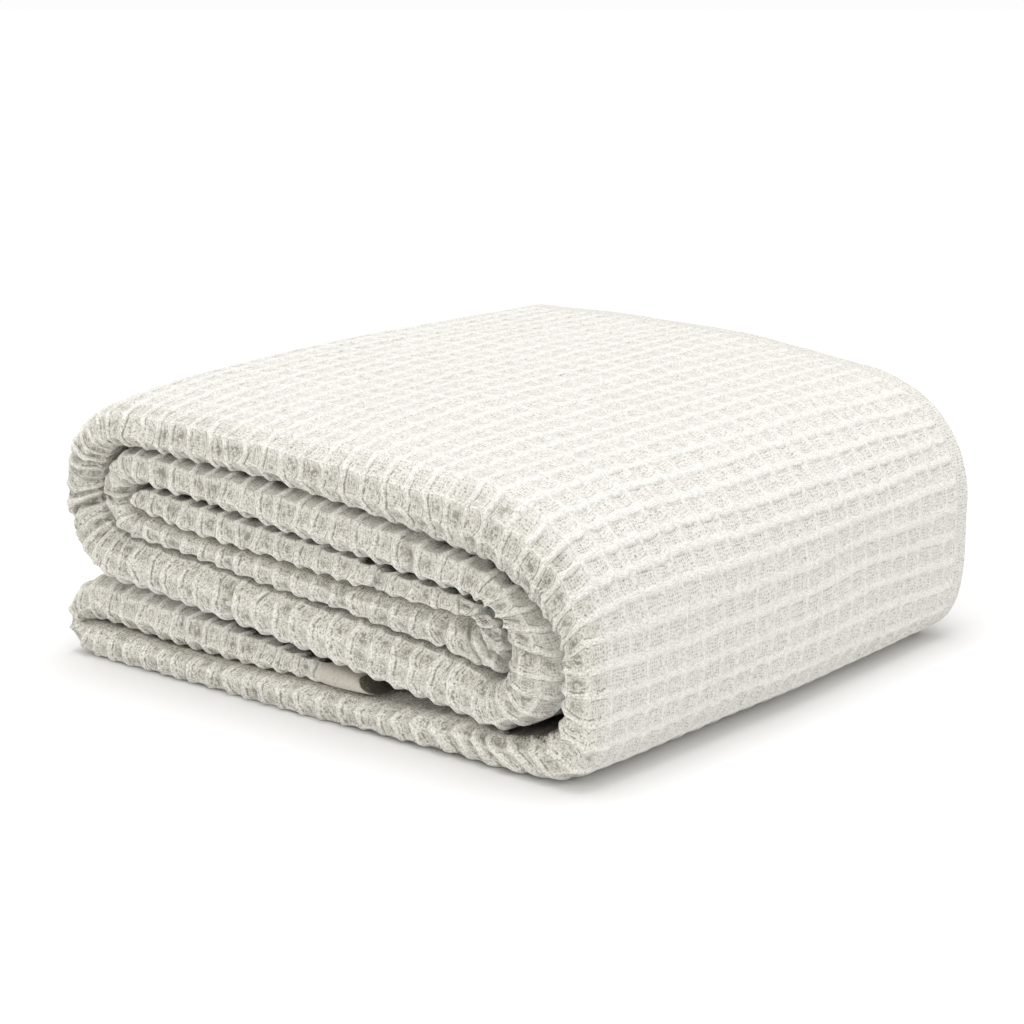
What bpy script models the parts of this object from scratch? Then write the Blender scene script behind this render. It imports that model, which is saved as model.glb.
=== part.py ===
"""A waffle weave cotton blanket, folded and then rolled flat into a square stack.

The cloth is one sheet.  It is doubled, folded in three across its width, and the long
strip that this gives is rolled flat, so the front end of the stack shows a spiral of
rounded folds.  The solid is that sheet: a section of six layers carried along the roll.

X runs along the front end of the stack, Y goes from its front to its back, Z is up.
The origin is the middle of the underside.  Sizes in the tables are in millimetres.
"""

from collections import namedtuple
from math import cos, exp, pi, radians, sin

import bmesh
import bpy
import numpy as np

MM = 0.001
STACK_DEPTH = 352.0          # front fold to back fold of the strip

LAYERS = 6                   # the sheet is doubled, then folded in three
SHEET_SHARE = 0.70           # share of a layer's space that the cloth fills
STRAIGHT_STOPS = (0.2, 0.75)  # where a straight layer has points between its ends
TUCK = 0.3                   # how far the doubled sheet stops short, in layers
EDGE_INSET = 0.2             # where the edges stop, from the back rim to its fold

# A run is one straight pass of the strip through the stack.  Heights and thicknesses
# are given at its left end, middle and right end, the front and back rims at its ends.
Run = namedtuple("Run", "left right under thick front back")
RUNS = {
    "core": Run(-120, 98, (81.5, 70.8, 65.8), (14.0, 14.6, 9.3), (3, 3), (348, 344)),
    "under_core": Run(-112, 98, (67.2, 56.4, 45.8), (11.6, 12.6, 18.2), (4, 5), (342, 346)),
    "over_core": Run(-112, 100, (96.2, 86.3, 76.0), (17.2, 20.6, 16.4), (1, 1), (346, 349)),
    "lower": Run(-125, 100, (40.9, 30.6, 19.1), (26.2, 24.8, 25.5), (1, 0), (350, 344)),
    "top": Run(-125, 100, (114.5, 108.6, 93.6), (20.0, 24.0, 34.6), (0, 0), (352, 351)),
    "bottom": Run(-150, 100, (0.0, 0.0, 0.0), (16.0, 14.0, 18.0), (1, 0), (347, 322)),
    "hem_end": Run(-150, 36, (17.4, 15.3, 16.7), (24.5, 16.9, 7.2), (4, 6), (345, 340)),
}

# A turn joins two runs at one end of the stack.  Its inner and outer faces are half
# superellipses.  Each has its reach beyond the runs, and its squareness above and below
# its middle: 2 is an ellipse, more is squarer, less is more pointed.
Turn = namedtuple("Turn", "side start end reach_in reach_out above_in above_out "
                          "below_in below_out steps")
TURNS = (
    Turn(1, "core", "under_core", 9.0, 23.5, 2.0, 1.6, 2.0, 4.6, 6),
    Turn(-1, "under_core", "over_core", 13.0, 32.5, 2.2, 2.2, 2.2, 2.2, 6),
    Turn(1, "over_core", "lower", 23.0, 54.5, 1.65, 1.45, 5.5, 2.9, 8),
    Turn(-1, "lower", "top", 20.8, 48.5, 2.0, 2.0, 2.2, 2.4, 8),
    Turn(1, "top", "bottom", 55.8, 74.0, 1.48, 2.1, 5.0, 6.0, 12),
    Turn(-1, "bottom", "hem_end", 15.0, 25.0, 2.0, 2.0, 2.0, 2.4, 6),
)
STEPS_PER_RUN = 4
CORE_TIP = (0.62, 0.86, 1.0)  # how full the rounded tip of the core is, every 4 mm
CORE_TIP_STEP = 4.0
HEM_SLANT = 6.0              # how far the hem's underside runs past its top side

# Where the inner turns sag on the right: a soft dip in the spiral's outline.
Sag = namedtuple("Sag", "x z width height depth")
SAG = Sag(116.0, 36.0, 13.0, 22.0, 6.5)

# The stack swells behind its front end and towards its left.
CROWN = 0.137
CROWN_LENGTH = 95.0
CROWN_LOSS_RIGHT = 0.65
SIDE_SWELL = 4.0

COTTON = (0.86, 0.84, 0.80, 1.0)

Station = namedtuple("Station", "inner outer front back")


def sagged(x, z):
    """A point of the outline after the inner turns have sagged."""
    across = (x - SAG.x) / SAG.width
    up = (z - SAG.z) / SAG.height
    return x, z - SAG.depth * exp(-across ** 2 - up ** 2)


def three_point(values, share):
    """Value of the parabola through the left, middle and right values."""
    left, middle, right = values
    u = 2.0 * share - 1.0
    return middle + 0.5 * (right - left) * u + (0.5 * (right + left) - middle) * u * u


def mix(ends, share):
    return ends[0] + (ends[1] - ends[0]) * share


def band(run, x):
    """Underside, top and rims of a run at x."""
    share = (x - run.left) / (run.right - run.left)
    under = three_point(run.under, share)
    top = under + three_point(run.thick, share)
    return under, top, mix(run.front, share), mix(run.back, share)


def run_stations(name, goes_right):
    """Stations along a run, whose inner face is its underside when it goes right."""
    run = RUNS[name]
    xs = np.linspace(run.left, run.right, STEPS_PER_RUN)
    if name == "core":
        tip = run.left + CORE_TIP_STEP * np.arange(len(CORE_TIP))
        xs = np.concatenate([tip, xs[1:]])
    stations = []
    for x in xs if goes_right else xs[::-1]:
        under, top, front, back = band(run, x)
        low, high = (x, under), (x, top)
        if name == "core":
            low, high = rounded_tip(run, x, low, high)
        if name == "hem_end" and x == run.right:
            low = (x + HEM_SLANT, under)
        inner, outer = (low, high) if goes_right else (high, low)
        stations.append(Station(sagged(*inner), sagged(*outer), front, back))
    return stations


def rounded_tip(run, x, low, high):
    """Draw the two faces of the core together near its tip."""
    step = (x - run.left) / CORE_TIP_STEP
    fill = np.interp(step, range(len(CORE_TIP)), CORE_TIP)
    middle = 0.5 * (low[1] + high[1])
    half = 0.5 * (high[1] - low[1]) * fill
    return (x, middle - half), (x, middle + half)


def arc_point(x, z_start, z_end, reach, squareness, angle):
    """Point of a half superellipse that starts and ends above one another at x."""
    middle = 0.5 * (z_start + z_end)
    half = 0.5 * (z_start - z_end)
    out = abs(sin(angle)) ** (2.0 / squareness)
    along = abs(cos(angle)) ** (2.0 / squareness)
    return x + reach * out, middle + half * along * (1 if cos(angle) > 0 else -1)


def turn_stations(turn):
    """Stations of a turn, without its two ends, which the runs already have."""
    start, end = RUNS[turn.start], RUNS[turn.end]
    x_start = start.right if turn.side > 0 else start.left
    under_a, top_a, front_a, back_a = band(start, x_start)
    under_b, top_b, front_b, back_b = band(end, x_start)
    if turn.side > 0:
        inner, outer = (under_a, top_b), (top_a, under_b)
    else:
        inner, outer = (top_a, under_b), (under_a, top_b)
    stations = []
    for angle in np.linspace(0.0, pi, turn.steps + 1)[1:-1]:
        in_upper_half = (cos(angle) > 0) == (turn.side > 0)
        square_in = turn.above_in if in_upper_half else turn.below_in
        square_out = turn.above_out if in_upper_half else turn.below_out
        share = 0.5 - 0.5 * cos(angle)
        reach_in, reach_out = turn.side * turn.reach_in, turn.side * turn.reach_out
        stations.append(Station(
            sagged(*arc_point(x_start, *inner, reach_in, square_in, angle)),
            sagged(*arc_point(x_start, *outer, reach_out, square_out, angle)),
            mix((front_a, front_b), share),
            mix((back_a, back_b), share)))
    return stations


def roll():
    """All stations of the strip, from the core to the hem."""
    stations = run_stations("core", True)
    for turn in TURNS:
        stations += turn_stations(turn)
        stations += run_stations(turn.end, turn.side < 0)
    return stations


def fold(rim, centre, radius, start, end, steps):
    """One fold of the sheet's middle line: rim, position and normal of its points.

    Position is (depth from the rim, height), both in thicknesses of the strip."""
    points = []
    inward = -1.0 if end > start else 1.0
    for angle in np.linspace(radians(start), radians(end), steps + 1):
        direction = np.array([cos(angle), sin(angle)])
        points.append((rim, np.array(centre) + radius * direction, inward * direction))
    return points


def section():
    """Middle line of the sheet in one section of the strip, from edge to edge.

    Layers are numbered upwards from 0.  The outermost fold joins layers 5 and 0 at the
    front, the next joins 0 and 3 at the back, and the doubled sheet is tucked between
    them, so the two edges of the cloth lie at the back."""
    layer = 1.0 / (LAYERS - 1 + SHEET_SHARE)
    skin = 0.5 * SHEET_SHARE * layer
    front = skin + 2.5 * layer
    back = -(skin + 1.5 * layer)
    tuck = front + TUCK * layer
    edge = EDGE_INSET * back
    middle = skin + 2.5 * layer
    low_middle = skin + 1.5 * layer
    down = np.array([0.0, -1.0])
    pieces = [
        [(1.0, np.array([edge, skin + 5.0 * layer]), down)],
        fold(0.0, (front, middle), 2.5 * layer, 90, 270, 6),
        fold(1.0, (back, low_middle), 1.5 * layer, -90, 90, 4),
        fold(0.0, (tuck, middle), 0.5 * layer, 90, 270, 2),
        fold(1.0, (back, low_middle), 0.5 * layer, 90, -90, 2),
        fold(0.0, (front, middle), 1.5 * layer, 270, 90, 4),
        [(1.0, np.array([edge, skin + 4.0 * layer]), -down)],
    ]
    line = list(pieces[0])
    for piece in pieces[1:]:
        line += straight(line[-1], piece[0])
        line += piece
    return line


def straight(start, end):
    """Points between two folds, on the straight layer that joins them."""
    stops = STRAIGHT_STOPS if start[0] == 0.0 else STRAIGHT_STOPS[::-1]
    points = []
    for stop in stops:
        share = abs(stop - start[0])
        points.append((stop, start[1] + (end[1] - start[1]) * share, start[2]))
    return points


def swell(points):
    """Raise the stack behind its front end, and let its sides stand out a little."""
    x, y, z = points[..., 0], points[..., 1], points[..., 2]
    rise = 1.0 - np.exp(-np.clip(y, 0.0, None) / CROWN_LENGTH)
    right = np.clip(x / 174.0, 0.0, 1.0)
    keep = 1.0 - CROWN_LOSS_RIGHT * right ** 2 * (3.0 - 2.0 * right)
    outwards = SIDE_SWELL * np.sin(pi * np.clip(y / STACK_DEPTH, 0.0, 1.0)) * x / 174.0
    return np.stack([x + outwards, y, z * (1.0 + CROWN * rise * keep)], axis=-1)


def sheet_side(stations, line, offset):
    """Grid of points on one side of the sheet, offset from its middle line."""
    grid = np.empty((len(stations), len(line), 3))
    for row, station in enumerate(stations):
        inner, outer = np.array(station.inner), np.array(station.outer)
        thickness = np.linalg.norm(outer - inner)
        for column, (rim, place, normal) in enumerate(line):
            depth, height = place + offset * normal
            x, z = inner + height * (outer - inner)
            y = mix((station.front, station.back), rim) + depth * thickness
            grid[row, column] = x, y, z
    return swell(grid)


def grid_faces(rows, line, start):
    """Triangles of a grid whose points are numbered row by row from start.

    Layers that run to the back and to the front are cut along the same diagonal, so
    that facing layers bend alike and never meet."""
    columns = len(line)
    faces = []
    for row in range(rows - 1):
        for column in range(columns - 1):
            a = start + row * columns + column
            b, c, d = a + 1, a + columns + 1, a + columns
            if line[column + 1][0] < line[column][0]:
                faces += [(a, b, d), (b, c, d)]
            else:
                faces += [(a, b, c), (a, c, d)]
    return faces


def border(rows, columns):
    """Point numbers round the edge of a grid, in order."""
    first = list(range(columns))
    right = [row * columns + columns - 1 for row in range(1, rows)]
    last = [(rows - 1) * columns + column for column in range(columns - 2, -1, -1)]
    left = [row * columns for row in range(rows - 2, 0, -1)]
    return first + right + last + left


def sheet_mesh(name):
    """The closed sheet: two sides of the cloth, joined round its edge."""
    stations, line = roll(), section()
    skin = 0.5 * SHEET_SHARE / (LAYERS - 1 + SHEET_SHARE)
    sides = [sheet_side(stations, line, offset) for offset in (-skin, skin)]
    rows, columns = len(stations), len(line)
    points = np.concatenate([side.reshape(-1, 3) for side in sides])
    low, high = points.min(axis=0), points.max(axis=0)
    centre = 0.5 * (low + high)
    points -= (centre[0], centre[1], low[2])
    count = rows * columns
    faces = grid_faces(rows, line, 0) + grid_faces(rows, line, count)
    edge = border(rows, columns)
    for a, b in zip(edge, edge[1:] + edge[:1]):
        faces.append((a, b, b + count, a + count))
    mesh = bpy.data.meshes.new(name)
    mesh.from_pydata((points * MM).tolist(), [], faces)
    shell = bmesh.new()
    shell.from_mesh(mesh)
    bmesh.ops.recalc_face_normals(shell, faces=shell.faces)
    shell.to_mesh(mesh)
    shell.free()
    mesh.shade_smooth()
    return mesh


def cotton():
    """Undyed cotton: off-white, matt."""
    material = bpy.data.materials.new("cotton")
    material.use_nodes = True
    surface = material.node_tree.nodes["Principled BSDF"]
    surface.inputs["Base Color"].default_value = COTTON
    surface.inputs["Roughness"].default_value = 0.95
    surface.inputs["Metallic"].default_value = 0.0
    return material


def main():
    for item in list(bpy.data.objects):
        bpy.data.objects.remove(item)
    parts = bpy.data.collections.new("waffle_blanket")
    bpy.context.scene.collection.children.link(parts)
    blanket = bpy.data.objects.new("blanket", sheet_mesh("blanket"))
    blanket.data.materials.append(cotton())
    parts.objects.link(blanket)


main()
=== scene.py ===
"""A folded waffle weave cotton blanket, dressed for the camera.

The frame brings in the plain solid of the folded sheet.  This lesson replaces it with
cloth: the inner leaves of the fold, and over them the woven faces that can be seen,
with their ridges and pits as real relief.  Lengths are worked out in millimetres of the
part and divided by a thousand at the very end, because Blender counts in metres.
"""

# %% [markdown]
# ## The frame
# The frame holds the part that was built.  Everything made here is placed in
# its coordinates: X along the front end of the stack, Y from front to back, Z up.

from collections import namedtuple

import bpy
import numpy as np
from mathutils import Matrix, Vector


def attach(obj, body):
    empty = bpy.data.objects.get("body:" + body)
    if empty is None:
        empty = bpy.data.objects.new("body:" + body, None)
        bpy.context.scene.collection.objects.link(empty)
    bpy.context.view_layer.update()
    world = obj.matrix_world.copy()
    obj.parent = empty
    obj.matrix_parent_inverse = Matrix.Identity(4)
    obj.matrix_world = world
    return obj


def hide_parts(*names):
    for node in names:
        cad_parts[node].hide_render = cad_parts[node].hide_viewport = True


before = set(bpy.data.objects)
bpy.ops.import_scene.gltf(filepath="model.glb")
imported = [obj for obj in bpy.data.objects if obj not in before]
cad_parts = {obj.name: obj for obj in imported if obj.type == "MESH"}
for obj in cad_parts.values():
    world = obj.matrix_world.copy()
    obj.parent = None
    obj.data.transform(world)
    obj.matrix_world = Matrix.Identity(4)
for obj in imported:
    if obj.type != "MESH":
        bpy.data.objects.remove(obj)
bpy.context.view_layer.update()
NODE = "blanket"
MM = 0.001

# %% [markdown]
# ## How the strip is rolled
# The real blanket is doubled, folded in three, and the long strip is rolled flat.  Seen
# from the front, the strip is a spiral of straight runs joined by turns.  These tables
# are the part's own, so that the cloth lies exactly where its solid lies.  Heights and
# thicknesses of a run are given at its left end, middle and right end.

# %% Runs and turns of the strip
Run = namedtuple("Run", "name left right under thick front back")
RUNS = (
    Run("core", -120, 98, (81.5, 70.8, 65.8), (14.0, 14.6, 9.3), (3, 3), (348, 344)),
    Run("under_core", -112, 98, (67.2, 56.4, 45.8), (11.6, 12.6, 18.2), (4, 5), (342, 346)),
    Run("over_core", -112, 100, (96.2, 86.3, 76.0), (17.2, 20.6, 16.4), (1, 1), (346, 349)),
    Run("lower", -125, 100, (40.9, 30.6, 19.1), (26.2, 24.8, 25.5), (1, 0), (350, 344)),
    Run("top", -125, 100, (114.5, 108.6, 93.6), (20.0, 24.0, 34.6), (0, 0), (352, 351)),
    Run("bottom", -150, 100, (0.0, 0.0, 0.0), (16.0, 14.0, 18.0), (1, 0), (347, 322)),
    Run("hem_end", -150, 36, (17.4, 15.3, 16.7), (24.5, 16.9, 7.2), (4, 6), (345, 340)),
)
Turn = namedtuple("Turn", "side reach_in reach_out above_in above_out below_in below_out")
TURNS = (
    Turn(1, 9.0, 23.5, 2.0, 1.6, 2.0, 4.6),
    Turn(-1, 13.0, 32.5, 2.2, 2.2, 2.2, 2.2),
    Turn(1, 23.0, 54.5, 1.65, 1.45, 5.5, 2.9),
    Turn(-1, 20.8, 48.5, 2.0, 2.0, 2.2, 2.4),
    Turn(1, 55.8, 74.0, 1.48, 2.1, 5.0, 6.0),
    Turn(-1, 15.0, 25.0, 2.0, 2.0, 2.0, 2.4),
)
LAYERS = 6
SHEET_SHARE = 0.70           # share of a layer's space that the cloth fills
STACK_DEPTH = 352.0
CENTRE = (-0.425, 176.0, -0.106)   # the part's origin, in the tables' coordinates

# %% [markdown]
# A run's faces are parabolas through their three heights.  A turn's faces are half
# superellipses: out = |sin a|^(2/p) and along = |cos a|^(2/p), where p is the squareness
# of that half.  A row of the path is one place along the strip, and holds the point on
# its inner face, the point on its outer face, and where its front and back rims lie.

# %% Faces of a run and of a turn
def parabola(values, share):
    """Value of the parabola through the left, middle and right values."""
    left, middle, right = values
    u = 2.0 * share - 1.0
    return middle + 0.5 * (right - left) * u + (0.5 * (right + left) - middle) * u * u


def run_rows(run, x):
    """Columns: x, underside, x, top side, front rim, back rim."""
    share = (x - run.left) / (run.right - run.left)
    under = parabola(run.under, share)
    top = under + parabola(run.thick, share)
    front = run.front[0] + (run.front[1] - run.front[0]) * share
    back = run.back[0] + (run.back[1] - run.back[0]) * share
    return np.stack([x, under, x, top, front, back], axis=1)


def half_turn(x, z_start, z_end, reach, square_first, square_second, angle):
    """Half superellipse that starts and ends above one another at x."""
    square = np.where(angle < 0.5 * np.pi, square_first, square_second)
    out = np.abs(np.sin(angle)) ** (2.0 / square)
    along = np.abs(np.cos(angle)) ** (2.0 / square) * np.sign(np.cos(angle))
    middle, half = 0.5 * (z_start + z_end), 0.5 * (z_start - z_end)
    return np.stack([x + reach * out, middle + half * along], axis=1)


# %% [markdown]
# The rows are laid one after another from the core of the roll to the hem: a run that
# goes right has its inner face underneath, a run that goes left has it on top.

# %% The whole path
ROWS_PER_RUN, ROWS_PER_TURN = 121, 181


def run_path(run, goes_right):
    rows = run_rows(run, np.linspace(run.left, run.right, ROWS_PER_RUN))
    if goes_right:
        return rows
    return rows[::-1][:, [2, 3, 0, 1, 4, 5]]


def turn_path(turn, start, end):
    x = float(start.right if turn.side > 0 else start.left)
    a = run_rows(start, np.array([x]))[0]
    b = run_rows(end, np.array([x]))[0]
    angle = np.linspace(0.0, np.pi, ROWS_PER_TURN)[1:-1]
    if turn.side > 0:
        ends = (a[1], b[3]), (a[3], b[1])
        squares = (turn.above_in, turn.below_in), (turn.above_out, turn.below_out)
    else:
        ends = (a[3], b[1]), (a[1], b[3])
        squares = (turn.below_in, turn.above_in), (turn.below_out, turn.above_out)
    reach = turn.side * turn.reach_in, turn.side * turn.reach_out
    inner = half_turn(x, *ends[0], reach[0], *squares[0], angle)
    outer = half_turn(x, *ends[1], reach[1], *squares[1], angle)
    share = (0.5 - 0.5 * np.cos(angle))[:, None]
    rims = a[None, 4:] + (b[4:] - a[4:])[None] * share
    return np.concatenate([inner, outer, rims], axis=1)


def whole_path():
    pieces, marks, count = [run_path(RUNS[0], True)], {"core": 0}, ROWS_PER_RUN
    for turn, start, end in zip(TURNS, RUNS, RUNS[1:]):
        pieces.append(turn_path(turn, start, end))
        marks["turn to " + end.name] = count
        count += len(pieces[-1])
        pieces.append(run_path(end, turn.side < 0))
        marks[end.name] = count
        count += len(pieces[-1])
    return np.concatenate(pieces), marks


PATH, MARKS = whole_path()

# %% [markdown]
# The inner turns have sagged a little on the right, which is a soft dip in the outline.
# The strip's two ends are drawn together, because a fold or a hem is rounded there: the
# core's tip like an ellipse, the hem later and more suddenly.  Distance along the strip
# is counted on its outer face, where the cloth isn't crowded.

# %% Sag, rounded ends and distance along the strip
SAG_X, SAG_Z, SAG_WIDTH, SAG_HEIGHT, SAG_DEPTH = 116.0, 36.0, 13.0, 22.0, 6.5
TIP_LENGTH, HEM_LENGTH, LEAST_FULL = 9.0, 3.0, 0.02
HEM_SUDDEN, HEM_POWER = 0.4, 0.3
HEM_SLANT, HEM_SLANT_FROM, HEM_SLANT_OVER = 11.0, 18.0, 18.0


def sagged(x, z):
    across, up = (x - SAG_X) / SAG_WIDTH, (z - SAG_Z) / SAG_HEIGHT
    return z - SAG_DEPTH * np.exp(-across ** 2 - up ** 2)


def slanted(rows, start):
    """The hem's lower side runs on a little past its upper side."""
    share = np.clip((rows[start:, 0] - HEM_SLANT_FROM) / HEM_SLANT_OVER, 0.0, 1.0)
    rows[start:, 0] += HEM_SLANT * share ** 2


slanted(PATH, MARKS["hem_end"])
PATH[:, 1] = sagged(PATH[:, 0], PATH[:, 1])
PATH[:, 3] = sagged(PATH[:, 2], PATH[:, 3])
steps = np.hypot(np.diff(PATH[:, 2]), np.diff(PATH[:, 3]))
ALONG = np.concatenate([[0.0], np.cumsum(steps)])
STRIP_END = ALONG[-1]


def quarter_ellipse(share):
    """Height of a quarter ellipse that starts upright at 0 and is level at 1."""
    share = np.clip(share, 0.0, 1.0)
    return np.sqrt(1.0 - (1.0 - share) ** 2)


def end_fullness(along):
    """1 along the strip, falling to almost nothing at the core's tip and at the hem."""
    tip = quarter_ellipse(along / TIP_LENGTH)
    hem = quarter_ellipse((STRIP_END - along) / HEM_LENGTH)
    hem = (1.0 - HEM_SUDDEN) * hem + HEM_SUDDEN * hem ** HEM_POWER
    return np.maximum(LEAST_FULL, tip * hem)


def path_at(along):
    """Rows of the path at these distances: inner point, outer point, front, back."""
    rows = np.stack([np.interp(along, ALONG, column) for column in PATH.T], axis=-1)
    full = end_fullness(along)[..., None]
    middle = 0.5 * (rows[..., 0:2] + rows[..., 2:4])
    half = 0.5 * (rows[..., 2:4] - rows[..., 0:2]) * full
    return np.concatenate([middle - half, middle + half, rows[..., 4:]], axis=-1)


print("strip on its outer face:", round(STRIP_END), "mm")
for name, row in MARKS.items():
    print("  ", name, "starts at", round(ALONG[row]), "mm")

# %% [markdown]
# A waffle cell is about 12.7 mm long along the strip.  The cloth gives, so it is not the
# same everywhere: crowded where the outer wrap turns on the left, a little stretched in
# places on the right.  Summing 1 / length over the strip counts the cells.

# %% Cells along the strip
Pitch = namedtuple("Pitch", "start past length")
PITCHES = (
    Pitch("core", 0.0, 12.7),
    Pitch("turn to top", 0.0, 12.7),
    Pitch("turn to top", 40.0, 9.2),
    Pitch("turn to top", 105.0, 9.2),
    Pitch("top", 5.0, 11.6),
    Pitch("top", 50.0, 12.8),
    Pitch("turn to bottom", 25.0, 12.9),
    Pitch("turn to bottom", 60.0, 11.7),
    Pitch("turn to bottom", 85.0, 11.7),
    Pitch("turn to bottom", 108.0, 13.1),
    Pitch("bottom", 0.0, 12.7),
)


def place(name, past=0.0):
    """Distance along the strip of a point that lies past a mark."""
    return ALONG[MARKS[name]] + past


PITCH_AT = [place(pitch.start, pitch.past) for pitch in PITCHES]
LENGTHS = np.interp(ALONG, PITCH_AT, [pitch.length for pitch in PITCHES])
CELLS = np.concatenate([[0.0], np.cumsum(np.diff(ALONG) * 2.0 / (LENGTHS[1:] + LENGTHS[:-1]))])


def cells_at(along):
    return np.interp(along, ALONG, CELLS)


def along_at(cells):
    return np.interp(cells, CELLS, ALONG)


print("cells along the strip:", round(CELLS[-1]))

# %% [markdown]
# ## One section of the strip
# A place in the section is a depth in millimetres from the front rim and a height from 0,
# the inner face, to 1, the outer face.  The crown makes the stack rise behind its front
# end, and its sides stand out a little half way back.

# %% From the section to the stack
CROWN, CROWN_LENGTH, CROWN_LOSS_RIGHT = 0.137, 95.0, 0.65
SIDE_SWELL, SIDE_REACH = 4.0, 174.0


def thickness(rows):
    return np.linalg.norm(rows[..., 2:4] - rows[..., 0:2], axis=-1)


def stack_point(rows, y, height):
    """Points in the stack, in mm, from rows of the path, depths and heights."""
    inner, outer = rows[..., 0:2], rows[..., 2:4]
    x, z = np.moveaxis(inner + height[..., None] * (outer - inner), -1, 0)
    rise = 1.0 - np.exp(-np.clip(y, 0.0, None) / CROWN_LENGTH)
    right = np.clip(x / SIDE_REACH, 0.0, 1.0)
    keep = 1.0 - CROWN_LOSS_RIGHT * right ** 2 * (3.0 - 2.0 * right)
    side = np.sin(np.pi * np.clip(y / STACK_DEPTH, 0.0, 1.0))
    x = x + SIDE_SWELL * side * x / SIDE_REACH
    z = z * (1.0 + CROWN * rise * keep)
    return np.stack([x, y, z], axis=-1) - CENTRE


# %% [markdown]
# ## Outlines of the section
# Three outlines carry the cloth that shows.  `front_outline` starts in the gap under the
# strip, goes round the front rim, runs back over the outer face and turns round its free
# edge.  `back_outline` goes round the fold at the back.  `lower_edge_outline` goes round
# the free edge of the layer below.  Each takes a place across the cloth, in cells, and
# gives a depth in millimetres and a height.

# %% Outlines
LAYER = 1.0 / (LAYERS - 1 + SHEET_SHARE)
SKIN = 0.5 * SHEET_SHARE * LAYER
BACK_FOLD = 1.5 * LAYER + SKIN
EDGE_INSET, EDGE_STEP = 0.2 * (SKIN + 1.5 * LAYER), 2.5
CELL_FRONT, CELL_BACK, CELL_GROWTH = 12.3, 15.6, 7.0
NOSE = 0.3                   # the front rim's nose, in cells above the rib below it
CELLS_TO_EDGE = 24.7


def across_at(cells):
    """Distance over the cloth from the nose: cells are shorter at the front rim."""
    inside = np.clip(cells - NOSE, 0.0, None)
    grown = inside - CELL_GROWTH * (1.0 - np.exp(-inside / CELL_GROWTH))
    return CELL_FRONT * (cells - NOSE) + (CELL_BACK - CELL_FRONT) * grown


def edge_depth(rows, layer):
    """Where the free edge of a layer stops.  The lower layer stops a little sooner."""
    sooner = (LAYERS - 1 - layer) * EDGE_STEP
    return rows[..., 5] - (EDGE_INSET + SKIN) * thickness(rows) - sooner


def front_outline(rows, cells):
    """cells grows from the gap below, past the front rim's nose, over the outer face."""
    thick = thickness(rows)
    radius = 0.5 * thick
    half = 0.5 * np.pi * radius
    full = half + edge_depth(rows, LAYERS - 1) - rows[..., 4] - radius
    drift = (full - across_at(CELLS_TO_EDGE)) * (cells.clip(0.0) / CELLS_TO_EDGE) ** 2
    across = across_at(cells) + drift
    angle = np.clip(across / radius, -0.5 * np.pi, 0.5 * np.pi)
    beyond = np.clip(np.minimum(np.abs(across), full) - half, 0.0, None)
    turn, inside = round_edge(across - full, SKIN * thick)
    depth = rows[..., 4] + radius * (1.0 - np.cos(angle)) + beyond
    depth += SKIN * thick * np.sin(turn) - inside
    return depth, 0.5 + 0.5 * np.sin(angle) - SKIN * (1.0 - np.cos(turn))


def round_edge(over, radius):
    """Angle round a free edge, then how far in on its other side, past its start."""
    turn = np.clip(over / radius, 0.0, np.pi)
    return turn, np.clip(over - np.pi * radius, 0.0, None)


def back_outline(rows, cells):
    """cells grows from the layer inside, round the back fold, to the inner face."""
    radius = BACK_FOLD * thickness(rows)
    across = CELL_BACK * cells
    angle = np.clip(across / radius, -0.5 * np.pi, 0.5 * np.pi)
    beyond = np.clip(np.abs(across) - 0.5 * np.pi * radius, 0.0, None)
    depth = rows[..., 5] - radius * (1.0 - np.cos(angle)) - beyond
    return depth, BACK_FOLD * (1.0 - np.sin(angle))


def lower_edge_outline(rows, cells):
    """Round the free edge of the layer below the outer one; cells is 0 where it turns."""
    radius = SKIN * thickness(rows)
    across = CELL_BACK * cells
    turn, inside = round_edge(across, radius)
    depth = edge_depth(rows, LAYERS - 2) + np.minimum(across, 0.0) + radius * np.sin(turn) - inside
    return depth, SKIN * (1.0 + np.cos(turn)) + (LAYERS - 2) * LAYER


print("from the front rim to the free edge:", CELLS_TO_EDGE - NOSE, "cells,",
      round(float(across_at(np.array(CELLS_TO_EDGE)))), "mm of cloth")

# %% [markdown]
# ## How much things differ
# Washed and folded cloth is never even, so each size and place below varies a little.
# Smooth value noise does it: random numbers at whole steps, blended between them.  The
# table gives each variation its size, its steps in a cell (or in a millimetre, for the
# soft waves and the gaps) one way and the other, and its own seed.

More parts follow.
